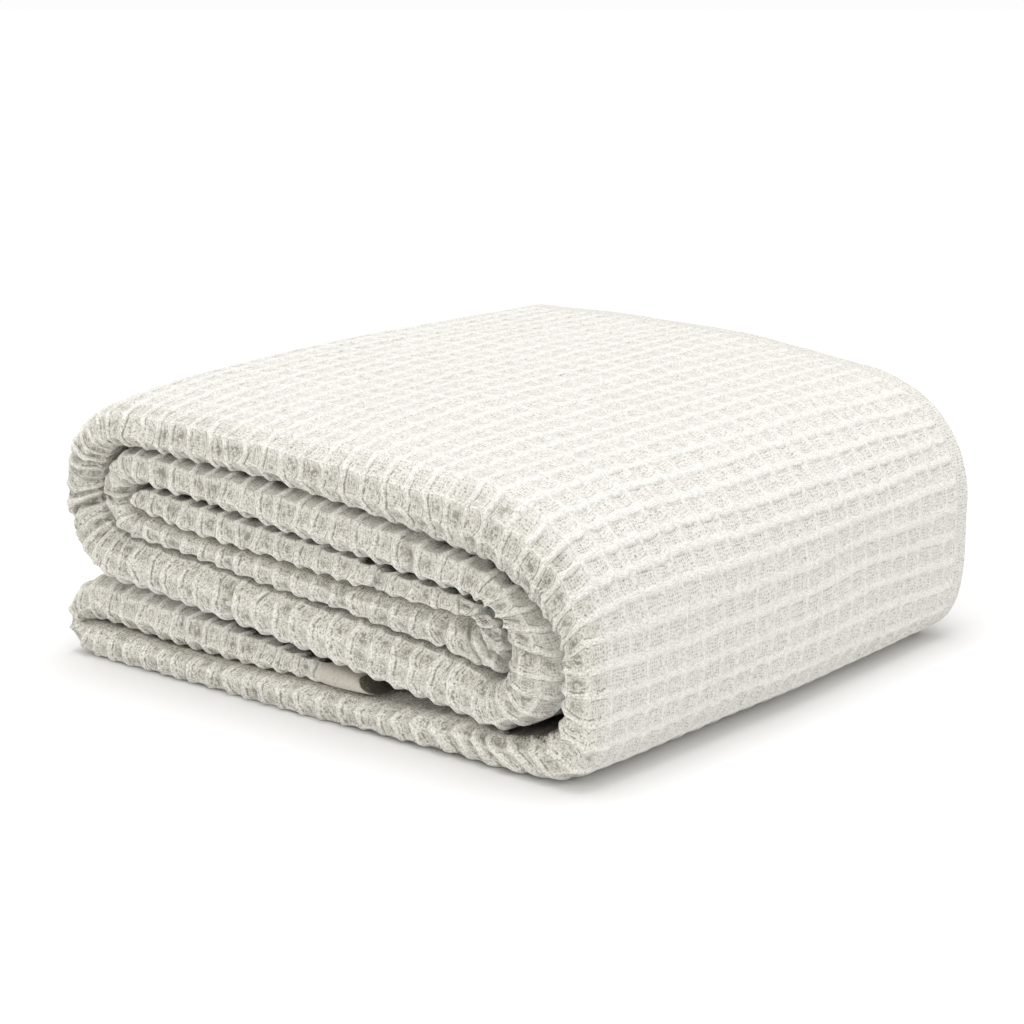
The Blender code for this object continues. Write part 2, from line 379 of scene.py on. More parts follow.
# %% Noise
NOISE_STEPS = 64
Wobble = namedtuple("Wobble", "size along across seed")
WOBBLES = {
    "slow swell": Wobble(0.8, 1.0 / 46.0, 1.0 / 60.0, 11),
    "quick swell": Wobble(0.4, 1.0 / 19.0, 1.0 / 27.0, 12),
    "lumps": Wobble(1.0, 1.0 / 8.0, 1.0 / 12.0, 13),
    "crease bend": Wobble(1.6, 1.0 / 7.0, 1.0 / 30.0, 14),
    "pit depth": Wobble(0.25, 1.0, 1.0, 21),
    "quick ridge": Wobble(0.07, 0.9, 0.6, 22),
    "lean": Wobble(0.5, 1.0, 1.0, 23),
    "quick rib": Wobble(0.07, 0.8, 0.9, 24),
    "scallop": Wobble(0.8, 1.0, 1.0, 25),
    "slow ridge": Wobble(0.20, 0.31, 0.17, 26),
    "rib bow": Wobble(0.09, 1.0, 0.4, 27),
    "rim ridge": Wobble(0.14, 1.0, 1.1, 28),
    "groove": Wobble(0.7, 1.0, 0.3, 29),
    "slot": Wobble(0.7, 0.7, 1.0, 30),
    "crumpled ridge": Wobble(0.35, 1.3, 1.5, 31),
    "crumpled rib": Wobble(0.3, 1.1, 1.3, 32),
    "heart": Wobble(0.7, 1.0, 1.0, 33),
    "gap": Wobble(0.6, 1.0 / 6.0, 0.2, 34),
}


def noise(a, b, seed):
    """Smooth noise from -1 to 1, with random values at whole a and b."""
    table = np.random.default_rng(seed).uniform(-1.0, 1.0, (NOISE_STEPS, NOISE_STEPS))
    ia, ib = np.floor(a).astype(int), np.floor(b).astype(int)
    fa, fb = a - ia, b - ib
    fa, fb = fa * fa * (3.0 - 2.0 * fa), fb * fb * (3.0 - 2.0 * fb)
    corner = lambda i, j: table[(ia + i) % NOISE_STEPS, (ib + j) % NOISE_STEPS]
    low = corner(0, 0) * (1.0 - fa) + corner(1, 0) * fa
    high = corner(0, 1) * (1.0 - fa) + corner(1, 1) * fa
    return low * (1.0 - fb) + high * fb


def wobble(name, along, across):
    """One variation from the table.  Whole numbers one way make it new for each cell."""
    row = WOBBLES[name]
    return row.size * noise(along * row.along, across * row.across, row.seed)


print("variations in the cloth:", len(WOBBLES))

# %% [markdown]
# ## The waffle
# In a waffle weave, long floats stand up round each cell and pull the plain weave
# between them down into a pit.  Here the floats that run from front to back are the
# strong ones: thick ridges, higher than the thin ribs that join them.  Across its half
# width a ridge or rib is (1 - |x|^2.2)^0.85, and the pit between them is a shallow bowl.
# Round the front rims the cloth is stretched over its fold and the pits open into
# rounded rings, whose height is a power of the distance from the pit's heart.

# %% One cell's relief
BULGE_POWER, BULGE_FULL, JOIN_POWER = 2.2, 0.85, 5.0
RIDGE_DIP, BOWL = 0.14, 0.38           # lower where a rib meets it; hollow of the pit
RIB_HALF, RIB_FLARE, RIB_HEIGHT, RIM_RIB = 0.08, 0.06, 0.95, 0.4
RING_FROM, RING_POWER, RING_SHARE = 0.25, 1.5, 0.6
RING_SQUARE, RING_SQUASH, LOOP_SQUASH = 2.6, 0.75, 0.45
GROOVE_PAST, GROOVE_HALF, GROOVE_FADE, RIM_GROOVE_FADE = 0.03, 0.038, 2.5, 1.0
SLOT_HALF, SLOT_FADE = 0.035, 3.0
Cell = namedtuple("Cell", "top groove slot ridge heart loops")


def bulge(x):
    return np.clip(1.0 - np.abs(x) ** BULGE_POWER, 0.0, None) ** BULGE_FULL


def smooth_step(x):
    x = np.clip(x, 0.0, 1.0)
    return x * x * (3.0 - 2.0 * x)


def from_line(cells):
    """Signed distance to the nearest whole number."""
    return cells - np.floor(cells + 0.5)


def waffle(u, v, half, rim):
    """Relief at places u and v, in cells, for ridges with this half width.

    top is the height, 0 in a pit and 1 on a ridge; groove and slot are 1 right beside a
    ridge and a rib; ridge is the ridge's share of the height; heart is 1 in the middle of
    a pit; loops is the distance from there, along which the looped floats are counted.
    """
    du, dv = from_line(u), from_line(v)
    x, y = 1.0 - np.abs(2.0 * du), 1.0 - np.abs(2.0 * dv)
    ridge = bulge(du / half) * (1.0 - RIDGE_DIP + RIDGE_DIP * np.sqrt(1.0 - y))
    rib_height = RIB_HEIGHT + (RIM_RIB - RIB_HEIGHT) * rim
    rib = rib_height * bulge(dv / (RIB_HALF + RIB_FLARE * x ** 2))
    joined = (ridge ** JOIN_POWER + rib ** JOIN_POWER) ** (1.0 / JOIN_POWER)
    square = 1.0 - (1.0 - joined) * (1.0 - BOWL * np.clip(x * x + y * y, 0.0, 1.0))
    outward = (x ** RING_SQUARE + (RING_SQUASH * y) ** RING_SQUARE) ** (1.0 / RING_SQUARE)
    ring = np.clip((outward - RING_FROM) / (1.0 - RING_FROM), 0.0, 1.0) ** RING_POWER
    fade = GROOVE_FADE + (RIM_GROOVE_FADE - GROOVE_FADE) * rim
    groove = np.exp(-((du - half - GROOVE_PAST) / GROOVE_HALF) ** 2) * (1.0 - y * y) ** fade
    slot = np.exp(-((dv - RIB_HALF - GROOVE_PAST) / SLOT_HALF) ** 2) * (1.0 - x) ** SLOT_FADE
    return Cell(top=square + (ring - square) * RING_SHARE * rim, groove=groove, slot=slot,
                ridge=ridge / (ridge + rib + 1e-6), heart=np.clip(1.0 - outward, 0.0, 1.0),
                loops=np.sqrt(x * x + (LOOP_SQUASH * y) ** 2))


sample = waffle(np.array([0.5, 0.0, 0.5]), np.array([0.5, 0.5, 0.0]), 0.2, 0.0)
print("height in a pit, on a ridge and on a rib:", np.round(sample.top, 2).tolist())

# %% [markdown]
# Ridges aren't straight: between two ribs each one sags into a scallop, and its top
# leans over the pit below.  Ribs bow like brackets, each row by its own amount.  The
# table says how wide and deep the relief is, by distance along the strip: half widths,
# scallops and slides are in cells, depths and leans in millimetres.  Round the front rim
# the ridges are pulled thin and stand high, whatever the table says.

# %% How the ridges sag, lean and stand along the strip
Look = namedtuple("Look", "start past scallop lean depth half groove slot")
LOOKS = (
    Look("core", 0.0, 0.08, 0.2, 2.0, 0.17, 0.3, 0.1),
    Look("turn to top", 40.0, 0.10, 0.3, 1.9, 0.16, 0.4, 0.1),
    Look("top", 0.0, 0.14, 0.4, 1.0, 0.20, 0.7, 0.1),
    Look("top", 140.0, 0.12, 0.4, 0.9, 0.20, 0.4, 0.5),
    Look("turn to bottom", -10.0, 0.13, 0.35, 0.55, 0.20, 0.22, 0.5),
    Look("turn to bottom", 35.0, 0.15, 0.45, 1.1, 0.21, 0.3, 0.2),
    Look("turn to bottom", 110.0, 0.10, 0.4, 1.3, 0.20, 0.25, 0.1),
    Look("turn to bottom", 160.0, -0.12, 0.3, 1.5, 0.19, 0.2, 0.1),
    Look("hem_end", 150.0, 0.10, 0.2, 1.8, 0.18, 0.3, 0.1),
)
RIM_CELLS, RIM_DEPTH, RIM_RIDGE_HALF = 1.4, 2.8, 0.105


def look_at(along, name):
    return np.interp(along, [place(look.start, look.past) for look in LOOKS],
                     [getattr(look, name) for look in LOOKS])


def rim_share(v):
    """1 on the front rim, falling to 0 over the outer face."""
    return np.exp(-(np.clip(v - NOSE, 0.0, None) / RIM_CELLS) ** 2)


# %% [markdown]
# Besides its cells, the cloth has soft waves and creases.  Waves come from noise; each
# crease is listed: where its middle lies, its heading from the strip's length,
# its length and width, and how deep it goes.  Where the wraps turn sharply the cloth is
# crumpled, with lumps and crinkles and flatter cells, and in a few places the rim is
# gathered into folds that lie aslant.  Each table names a mark on the strip and the
# millimetres past it.

# %% Creases, crumpled places and gathers
Crease = namedtuple("Crease", "start past across heading length width depth")
CREASES = (
    Crease("turn to top", 46.0, -4.0, 80.0, 16.0, 2.0, 1.6),
    Crease("turn to top", 59.0, -2.0, 99.0, 20.0, 2.2, 2.2),
    Crease("turn to top", 71.0, -6.0, 88.0, 15.0, 1.8, 2.0),
    Crease("turn to top", 84.0, -2.0, 78.0, 19.0, 2.2, 2.2),
    Crease("turn to top", 99.0, -5.0, 93.0, 14.0, 1.8, 1.6),
    Crease("turn to over_core", 45.0, 0.0, 88.0, 20.0, 2.2, 1.8),
    Crease("turn to over_core", 60.0, 2.0, 96.0, 20.0, 2.4, 1.8),
    Crease("lower", 150.0, 2.0, 84.0, 14.0, 2.0, 2.0),
    Crease("core", 168.0, 0.0, 66.0, 12.0, 1.6, 2.6),
    Crease("turn to under_core", 12.0, 2.0, 74.0, 12.0, 1.8, 2.4),
    Crease("turn to under_core", 30.0, 0.0, 82.0, 12.0, 2.0, 3.0),
    Crease("turn to under_core", 44.0, 2.0, 96.0, 14.0, 2.0, 3.2),
    Crease("turn to under_core", 58.0, 0.0, 88.0, 14.0, 1.8, 2.6),
    Crease("under_core", 12.0, 2.0, 80.0, 13.0, 1.6, 2.2),
    Crease("over_core", 182.0, 2.0, 100.0, 12.0, 1.8, 2.2),
    Crease("turn to lower", 66.0, 2.0, 84.0, 14.0, 1.6, 1.8),
)
Crumple = namedtuple("Crumple", "start past reach across share")
CRUMPLES = (
    Crumple("turn to top", 75.0, 42.0, 26.0, 0.75),
    Crumple("turn to over_core", 50.0, 30.0, 22.0, 0.6),
)
Gather = namedtuple("Gather", "start past reach slant share")
GATHERS = (
    Gather("turn to bottom", 222.0, 36.0, -0.55, 1.0),
    Gather("turn to top", 72.0, 44.0, 0.0, 0.8),
    Gather("turn to over_core", 52.0, 30.0, 0.0, 0.7),
)


def near(along, name, past, reach):
    """1 round a place on the strip, falling to 0 past its reach: exp(-(d / reach)^4)."""
    return np.exp(-((along - place(name, past)) / reach) ** 4)


def gathered(along, column):
    """Sum of one column over the gathers, each as far as it reaches."""
    return sum(near(along, row.start, row.past, row.reach) * getattr(row, column)
               for row in GATHERS)


def crumpled(along, across):
    """How crumpled the cloth is, from 0 to the shares in the table."""
    return sum(row.share * near(along, row.start, row.past, row.reach)
               * np.exp(-(across / row.across) ** 2) for row in CRUMPLES)


# %% [markdown]
# The waves, creases and crinkles add up to one height over the smooth cloth.  A crease
# could be modelled by hand, but as a formula it can be moved until it lies right.

# %% Waves
LUMP_HEIGHT, LUMP_SLANT = 1.2, 8.0 / 31.0
CRINKLE_DEPTH, CRINKLE_HALF = 1.2, 0.2
# Shares of painted shade in the bottoms of creases and crinkles.
CREASE_SHADE, CRINKLE_SHADE = 0.32, 0.6


def valley(crease, along, across):
    """1 in the bottom of a crease: exp(-(aside / width)^2 - (ahead / length)^4)."""
    a, b = along - place(crease.start, crease.past), across - crease.across
    turn = np.radians(crease.heading)
    ahead, aside = a * np.cos(turn) + b * np.sin(turn), b * np.cos(turn) - a * np.sin(turn)
    aside_bent = aside + wobble("crease bend", ahead, aside)
    return np.exp(-(aside_bent / crease.width) ** 2 - (ahead / crease.length) ** 4)


def waves(along, across):
    """Height of the soft waves and creases, and how much painted shade their bottoms get, 0 to 1."""
    swell = wobble("slow swell", along, across) + wobble("quick swell", along, across)
    crease_shade = np.zeros(along.shape)
    for crease in CREASES:
        depth = crease.depth * valley(crease, along, across)
        swell -= depth
        crease_shade = np.maximum(crease_shade, CREASE_SHADE * depth)
    crumple = crumpled(along, across)
    lumps = wobble("lumps", along + LUMP_SLANT * across, across)
    crinkle = crumple * np.exp(-(lumps / CRINKLE_HALF) ** 2)
    swell += crumple * LUMP_HEIGHT * lumps - CRINKLE_DEPTH * crinkle
    return swell, np.maximum(crease_shade, CRINKLE_SHADE * crinkle)


print("creases:", len(CREASES), " crumpled places:", len(CRUMPLES), " gathers:", len(GATHERS))

# %% [markdown]
# ## From cells to a mesh
# A woven face is a grid of points, the same twelve in every cell, so that ridges and
# pits always fall on points.  Where the strip or the cloth ends, closer stops follow the
# tight turn there.

# %% Stops and normals
ALONG_STOPS = np.array([-0.44, -0.34, -0.25, -0.18, -0.10, -0.01, 0.08, 0.16, 0.21, 0.25, 0.30, 0.39])
ACROSS_STOPS = np.array([-0.46, -0.36, -0.26, -0.17, -0.11, -0.06, 0.0, 0.06, 0.11, 0.17, 0.26, 0.36])
END_STOPS = np.array([0.27, 0.22, 0.17, 0.12, 0.08, 0.05, 0.025, 0.01, 0.0])
EDGE_STOPS = np.array([0.0, 0.05, 0.10, 0.15, 0.20, 0.26, 0.5, 1.1])
END_REACH, LEAST_STEP = 0.3, 0.02


def cell_grid(first, last, stops):
    """Positions in cells from first to last, with the stops of every cell between."""
    whole = np.arange(np.floor(first) - 1, np.ceil(last) + 2)
    every = (whole[:, None] + stops[None]).ravel()
    inside = every[(every > first + LEAST_STEP) & (every < last - LEAST_STEP)]
    return np.concatenate([[first], inside, [last]])


def grid_normals(points):
    down, along = np.gradient(points, axis=0), np.gradient(points, axis=1)
    normal = np.cross(down, along)
    return normal / (np.linalg.norm(normal, axis=-1, keepdims=True) + 1e-9)


# %% [markdown]
# A point first slides over the cloth, because ridges hang in scallops and wander, and
# ribs bow.  Slides are in cells.  The groove beside a ridge and the slot beside a rib
# come and go in patches.

# %% Slides and grooves
SCALLOP_MEAN = 0.6
RIM_GROOVE, FOLD_GROOVE = 0.5, 1.3
PATCH_MEAN, PATCH_LEAST, PATCH_MOST = 0.6, 0.1, 1.3


def ridge_slide(u, v, along, rim, crumple):
    """How far the ridges slide along the strip."""
    hang = np.abs(2.0 * from_line(v))
    sag = hang * (2.0 - hang) - SCALLOP_MEAN
    slide = look_at(along, "scallop") * (1.0 + wobble("scallop", np.floor(v), u)) * sag
    slide += wobble("slow ridge", u, v) + wobble("quick ridge", u, v)
    slide += rim * wobble("rim ridge", np.floor(u + 0.5), v)
    slide += crumple * wobble("crumpled ridge", u, v)
    return slide + gathered(along, "slant") * rim * (v - NOSE)


def rib_slide(u, v, crumple):
    """How far the ribs slide across the strip."""
    bow = np.abs(2.0 * from_line(u))
    slide = wobble("rib bow", np.floor(u), v) * bow + wobble("quick rib", u, v)
    return slide + crumple * wobble("crumpled rib", u, v)


def patches(name, u, v):
    return np.clip(PATCH_MEAN + wobble(name, u, v), PATCH_LEAST, PATCH_MOST)


def grooves(u, v, along, rim, fold, cell):
    """Depth in mm of the grooves and slots; folds have deeper grooves."""
    strength = look_at(along, "groove") + (RIM_GROOVE + FOLD_GROOVE * fold) * rim
    groove = cell.groove * strength * patches("groove", u, v)
    return groove + cell.slot * look_at(along, "slot") * patches("slot", u, v)


# %% [markdown]
# The solid keeps its layers a little apart, but real gaps close behind their rims and no
# light gets in.  So each point knows how far inside a gap it is, and painted shade makes
# the finish dark there.  Under the roll, on the right, there is an open hollow that is
# painted dark from its mouth on; left of it the gap is wide, and light gets in further,
# so the painted shade starts deeper and stays lighter.  The hem's turned end is painted
# dark as well.

# %% Gaps
BELOW_FROM, BELOW_OVER, ABOVE_FROM, ABOVE_OVER = 0.3, 1.0, 0.1, 0.8    # cells past a rim
HOLLOW_PAST, HOLLOW_REACH, HOLLOW_SOONER = -62.0, 36.0, 0.4
WIDE_PAST, WIDE_REACH, WIDE_DEEPER, WIDE_LIGHT = 45.0, 78.0, 1.3, 0.25
# The hem's turned end is painted dark, as shade, over these millimetres.
END_SHADE, END_SLANT, END_OVER = 3.0, 1.5, 1.2          # mm of the hem's turned end


def quarter_turn(rows):
    """Cells from the front rim's nose to where the cloth lies level again."""
    return 0.25 * np.pi * thickness(rows) / CELL_FRONT


def gap_share(rows, along, v, shut):
    """Share of painted shade: 1 deep in the gap below the strip, in the gap above it if that
    is shut too, and round the hem's end."""
    quarter = quarter_turn(rows)
    hollow = near(along, "bottom", HOLLOW_PAST, HOLLOW_REACH)
    wide = near(along, "bottom", WIDE_PAST, WIDE_REACH) * (1.0 - hollow)
    start = NOSE - quarter * (1.0 - HOLLOW_SOONER * hollow) - BELOW_FROM * (1.0 - hollow)
    start = start - WIDE_DEEPER * wide
    below = smooth_step((start - v) / (BELOW_OVER * (1.0 - HOLLOW_SOONER * hollow)))
    below = below * (1.0 - WIDE_LIGHT * wide)
    ragged = wobble("gap", along, v)
    above = smooth_step((v - NOSE - quarter - ABOVE_FROM + ragged) / ABOVE_OVER)
    up = np.clip((v - NOSE + quarter) / (2.0 * quarter), 0.0, 1.0)
    # Painted shade round the hem's turned end.
    behind = smooth_step((along - STRIP_END + END_SHADE + END_SLANT * up) / END_OVER)
    return np.maximum(np.maximum(below * (shut >= 0), above * (shut > 0)), behind)


# %% [markdown]
# After its slide, a point is raised along the normal of the smooth face below it: up by
# what the ridges stand proud, down by the depth of its pit and groove, and up or down
# with the waves.  Its facts go with it, for the finish.

# %% Raise a grid
PROUD, ON_FLOOR = 0.35, 0.02           # mm over the part's own face, and over the floor
HEM_PLAIN, HEM_FADE = 27.0, 3.0        # mm of plain hem, and of its start
FOLD_HALF, CRUMPLE_FLAT = 0.2, 0.5
HEART_POWER, HEART_MEAN, HEART_LEAST, HEART_MOST = 1.6, 0.9, 0.2, 1.5
LINE_PAST = 0.06


def woven_points(u, v, outline, calm, shut):
    """Raised points of a woven face, and what the finish needs to know of each."""
    u, v = np.meshgrid(u, v, indexing="ij")
    along, across = along_at(u), across_at(v)
    rows = path_at(along)
    normal = grid_normals(stack_point(rows, *outline(rows, v)))
    rim, crumple = rim_share(v), crumpled(along, across)
    fold = gathered(along, "share") * rim
    half = look_at(along, "half") * (1.0 - rim) + (RIM_RIDGE_HALF + FOLD_HALF * fold) * rim
    cell = waffle(u, v, half, rim)
    plain = smooth_step((along - STRIP_END + HEM_PLAIN) / HEM_FADE + 0.5)
    quiet = (1.0 - plain) * calm(rows, v)
    depth = look_at(along, "depth") * (1.0 - rim) + RIM_DEPTH * rim
    depth = depth * (1.0 + wobble("pit depth", u + 0.5, v + 0.5)) * quiet
    depth = depth * (1.0 - CRUMPLE_FLAT * crumple)
    lean = look_at(along, "lean") * (1.0 + wobble("lean", u + 0.5, v + 0.5)) * depth * cell.top
    slid = along_at(u + ridge_slide(u, v, along, rim, crumple) * quiet)
    rows = path_at(np.clip(slid + lean, 0.0, STRIP_END))
    points = stack_point(rows, *outline(rows, v + rib_slide(u, v, crumple) * quiet))
    groove = grooves(u, v, along, rim, fold, cell)
    swell, crease_shade = waves(along, across)
    height = PROUD * quiet - depth * (1.0 - cell.top) - groove * quiet + swell
    points = points + normal * height[..., None]
    points[..., 2] = np.maximum(points[..., 2], ON_FLOOR)
    hearts = np.clip(HEART_MEAN + wobble("heart", u + 0.5, v + 0.5), HEART_LEAST, HEART_MOST)
    # raised also sets the painted shade of the pits and the painted highlight of the crests, rim the
    # painted warm tint, and hem the hem's painted shade.  groove, deep and gap carry painted shade in
    # grooves and crease bottoms, in a rim pit's heart, in gaps and on the hem's end.
    facts = {
        "raised": cell.top * quiet,
        "ridge": cell.ridge,
        "loops": cell.loops,
        "groove": np.maximum(groove * quiet, crease_shade),
        "deep": cell.heart ** HEART_POWER * rim * quiet * hearts,
        "edge": cell.loops - 1.0 + 2.0 * half + LINE_PAST,
        "rim": rim * (1.0 - plain),
        "hem": plain,
        "quiet": quiet,
        "gap": gap_share(rows, along, v, shut),
    }
    return points, np.stack([along, across], axis=-1) * MM, facts


# %% [markdown]
# Points and faces become a mesh in one call, with one UV layer in metres of cloth and
# the facts as attributes that the finish reads.  A grid has four numbers for each face.

# %% Grid to object
PARTS = bpy.data.collections.new("cloth")
bpy.context.scene.collection.children.link(PARTS)
CLOTH = []


def grid_faces(rows, columns):
    first = np.arange((rows - 1) * columns).reshape(rows - 1, columns)[:, :-1].ravel()
    return np.stack([first, first + columns, first + columns + 1, first + 1], axis=1)


def cloth_object(name, points, faces, cloth_uv, material, facts):
    mesh = bpy.data.meshes.new(name)
    mesh.from_pydata((points.reshape(-1, 3) * MM).tolist(), [], faces.tolist())
    uv = mesh.uv_layers.new(name="cloth")
    uv.data.foreach_set("uv", cloth_uv.reshape(-1, 2)[faces.ravel()].astype(np.float32).ravel())
    for fact, values in facts.items():
        layer = mesh.attributes.new(fact, "FLOAT", "POINT")
        layer.data.foreach_set("value", values.astype(np.float32).ravel())
    mesh.shade_smooth()
    mesh.materials.append(material)
    piece = bpy.data.objects.new(name, mesh)
    PARTS.objects.link(piece)
    print(f"{name}: {2 * len(faces):,} triangles")
    return piece


# %% [markdown]
# ## The finish
# The yarn is undyed cotton.  Its colour is ivory, with light and shade painted into it: a
# painted highlight makes it brightest on the crests of the ridges, painted shade makes it a
# little greyer down in the pits and darker on the plain hem, and a painted warm tint of
# bounce light makes it warmer where the cloth turns round a rim.  Painted shade also darkens
# the grooves beside the ridges, the bottoms of creases, the heart of a pit on a rim and the
# inside of the gaps, where less light gets in.  The threads are too fine for the grid, so
# they are bump and colour: floats side by side on ridges and ribs, a plain weave with small
# holes in the pits, and loops of yarn round the pits on a rim.  Fluff and lint are noise of
# two sizes, and a stray noise bends the threads and breaks up their rows.

# %% Sizes and colours of the yarn
FLOAT_PITCH, RIB_PITCH, PLAIN_PITCH = 1.15, 1.1, 1.55      # mm from thread to thread
LOOP_PITCH, LOOP_REACH, LOOP_WANDER = 1.35, 6.3, 4.0       # mm, round a pit
THREAD_WANDER = 2.6                                        # mm
FLUFF, LINT, STRAY = 850.0, 380.0, 520.0                   # noise steps in a metre
# The crest colour is a painted highlight and the rim colour a painted warm tint of bounce light.  The
# pit, hem and gap colours are painted shade, and the shaded colour is painted shade that also darkens
# the grain between the threads.
IVORY, SHADED_PIT_IVORY, CREST = (0.83, 0.826, 0.808), (0.77, 0.76, 0.725), (0.92, 0.905, 0.855)
RIM_BOUNCE_TINT, HEM_SHADE = (0.92, 0.886, 0.803), (0.58, 0.55, 0.485)
SHADED, GAP_SHADE = (0.30, 0.283, 0.24), (0.06, 0.05, 0.034)

# %% [markdown]
# Shader sums are wired from small maths nodes.  A few words for them keep the wiring
# short: times, scaled (a value times a number plus another), held between 0 and 1.

# %% Words for wiring nodes
NOISE_DETAIL = 2.0


class Nodes:
    """A few words for wiring shader nodes."""

    def __init__(self, material):
        self.tree = material.node_tree

    def add(self, kind, **settings):
        node = self.tree.nodes.new(kind)
        for key, value in settings.items():
            setattr(node, key, value)
        return node

    def put(self, socket, value):
        if hasattr(value, "is_output"):
            self.tree.links.new(value, socket)
        else:
            socket.default_value = value

    def maths(self, operation, a, b=0.0, c=0.0):
        node = self.add("ShaderNodeMath", operation=operation)
        for socket, value in zip(node.inputs, (a, b, c)):
            self.put(socket, value)
        return node.outputs[0]

    def times(self, a, b):
        return self.maths("MULTIPLY", a, b)

    def scaled(self, value, factor, plus=0.0):
        return self.maths("MULTIPLY_ADD", value, factor, plus)

    def above_zero(self, value):
        return self.maths("MAXIMUM", value, 0.0)

    def held(self, value):
        return self.maths("MINIMUM", self.above_zero(value), 1.0)

    def blend(self, share, a, b):
        node = self.add("ShaderNodeMix", data_type="FLOAT")
        for number, value in ((0, share), (2, a), (3, b)):
            self.put(node.inputs[number], value)
        return node.outputs[0]

    def blend_colour(self, share, a, b):
        node = self.add("ShaderNodeMix", data_type="RGBA")
        self.put(node.inputs[0], share)
        for number, value in ((6, a), (7, b)):
            self.put(node.inputs[number], value if hasattr(value, "is_output") else (*value, 1.0))
        return node.outputs[2]

    def fact(self, name):
        return self.add("ShaderNodeAttribute", attribute_name=name).outputs["Fac"]

    def noise(self, spot, scale):
        node = self.add("ShaderNodeTexNoise")
        self.put(node.inputs["Vector"], spot)
        node.inputs["Scale"].default_value = scale
        node.inputs["Detail"].default_value = NOISE_DETAIL
        return node.outputs["Fac"]

    def stripes(self, across, pitch):
        """0 to 1 and back once every pitch, in mm, of a coordinate in metres."""
        wave = self.maths("SINE", self.times(across, 2.0 * np.pi / (pitch * MM)))
        return self.scaled(wave, 0.5, 0.5)


# %% [markdown]
# The plain weave is two rows of stripes multiplied, which leaves a hole where four
# threads meet.  Its holes come and go with the stray noise, and are almost closed in the
# hem.  On the relief the floats take over by height, and in patches the loops do.

# %% Threads
HOLE_GAIN, HOLE_LOSS, HEM_CLOSED = 3.4, 0.9, 0.8
PATCH_GAIN, PATCH_LOSS, LOOPED, LOOPED_RIM = 3.0, 1.1, 0.2, 0.7
FLOAT_LOW, FLOAT_SWING = 0.55, 0.4


def plain_weave(n, along, across, stray):
    """1 on the threads of the plain weave, and less in the holes between them."""
    hole = n.times(n.stripes(along, PLAIN_PITCH), n.stripes(across, PLAIN_PITCH))
    hole = n.times(hole, n.above_zero(n.scaled(stray, HOLE_GAIN, -HOLE_LOSS)))
    hole = n.times(hole, n.scaled(n.fact("hem"), -HEM_CLOSED, 1.0))
    return n.maths("SUBTRACT", 1.0, hole)


def relief_threads(n, along, across, plain, lint, stray):
    """Floats on ridges and ribs, plain weave in pits, loops in patches."""
    floats = n.blend(n.fact("ridge"), n.stripes(across, RIB_PITCH), n.stripes(along, FLOAT_PITCH))
    loops = n.scaled(n.fact("loops"), LOOP_REACH * MM, n.times(lint, LOOP_WANDER * MM))
    rings = n.stripes(loops, LOOP_PITCH)
    patch = n.held(n.scaled(stray, PATCH_GAIN, -PATCH_LOSS))
    looped = n.times(n.scaled(n.fact("rim"), LOOPED_RIM, LOOPED), patch)
    floats = n.scaled(n.blend(looped, floats, rings), FLOAT_SWING, FLOAT_LOW)
    return n.blend(n.fact("raised"), n.blend(looped, plain, rings), floats)


# %% [markdown]
# The colours follow the relief, with light and shade painted in.  A thin line of painted
# shade lies beside each ridge, where the pit's yarn dives under the float; it shows in
# pieces, mostly on the rims.  In the heart of a pit there are specks of painted shade
# between the threads.

# %% Colours of the relief
RIM_TINT, CREST_POWER, CREST_SHARE, CREST_RIM = 0.65, 3.0, 0.8, 0.5
LINE_SHARP, LINE_GAIN, LINE_LOSS, LINE_FACE, LINE_RIM = 10.0, 7.0, 3.2, 0.15, 0.5
SPECK_GAIN, SPECK_LOSS = 4.0, 3.3
GROOVE_SHADE, HEART_SHADE, LINE_SHADE = 0.6, 1.1, 0.6


def broken_line(n, lint):
    """1 on the line of painted shade beside a ridge, where the lint lets it show."""
    line = n.above_zero(n.scaled(n.maths("ABSOLUTE", n.fact("edge")), -LINE_SHARP, 1.0))
    line = n.times(line, n.held(n.scaled(lint, LINE_GAIN, -LINE_LOSS)))
    line = n.times(line, n.scaled(n.fact("rim"), LINE_RIM, LINE_FACE))
    return n.times(line, n.fact("quiet"))


def relief_colour(n, line, lint, fluff):
    """Ivory by height with painted shade in pits, a painted warm tint on rims, a painted highlight on
    crests, and painted shade where it is deep.
    """
    raised, rim = n.fact("raised"), n.fact("rim")
    # Painted shade makes the pits greyer, and a painted warm tint of bounce light goes on the rims.
    colour = n.blend_colour(raised, SHADED_PIT_IVORY, IVORY)
    colour = n.blend_colour(n.times(rim, RIM_TINT), colour, RIM_BOUNCE_TINT)
    # Painted highlight on the crests.
    crest = n.maths("POWER", raised, CREST_POWER)
    crest = n.times(crest, n.scaled(rim, CREST_RIM, 1.0 - CREST_RIM))
    colour = n.blend_colour(n.times(crest, CREST_SHARE), colour, CREST)
    specks = n.above_zero(n.scaled(n.maths("ADD", lint, fluff), SPECK_GAIN, -SPECK_LOSS))
    # Painted shade: in the grooves and crease bottoms, in specks in a rim pit's heart, and on the
    # line beside a ridge.
    heart = n.times(n.times(n.fact("deep"), specks), HEART_SHADE)
    shade = n.scaled(n.fact("groove"), GROOVE_SHADE, heart)
    shade = n.maths("MAXIMUM", shade, n.times(line, LINE_SHADE))
    colour = n.blend_colour(shade, colour, SHADED)
    # The plain hem is darkened with painted shade.
    return n.blend_colour(n.fact("hem"), colour, HEM_SHADE)


# %% [markdown]
# The grain is the small height of fluff, threads and lint.  It is the bump, and it also
# darkens the colour between the threads, a little less on the crests.  Inside a gap the
# painted shade comes last of all, soonest where the grain is low, so its edge is rough.

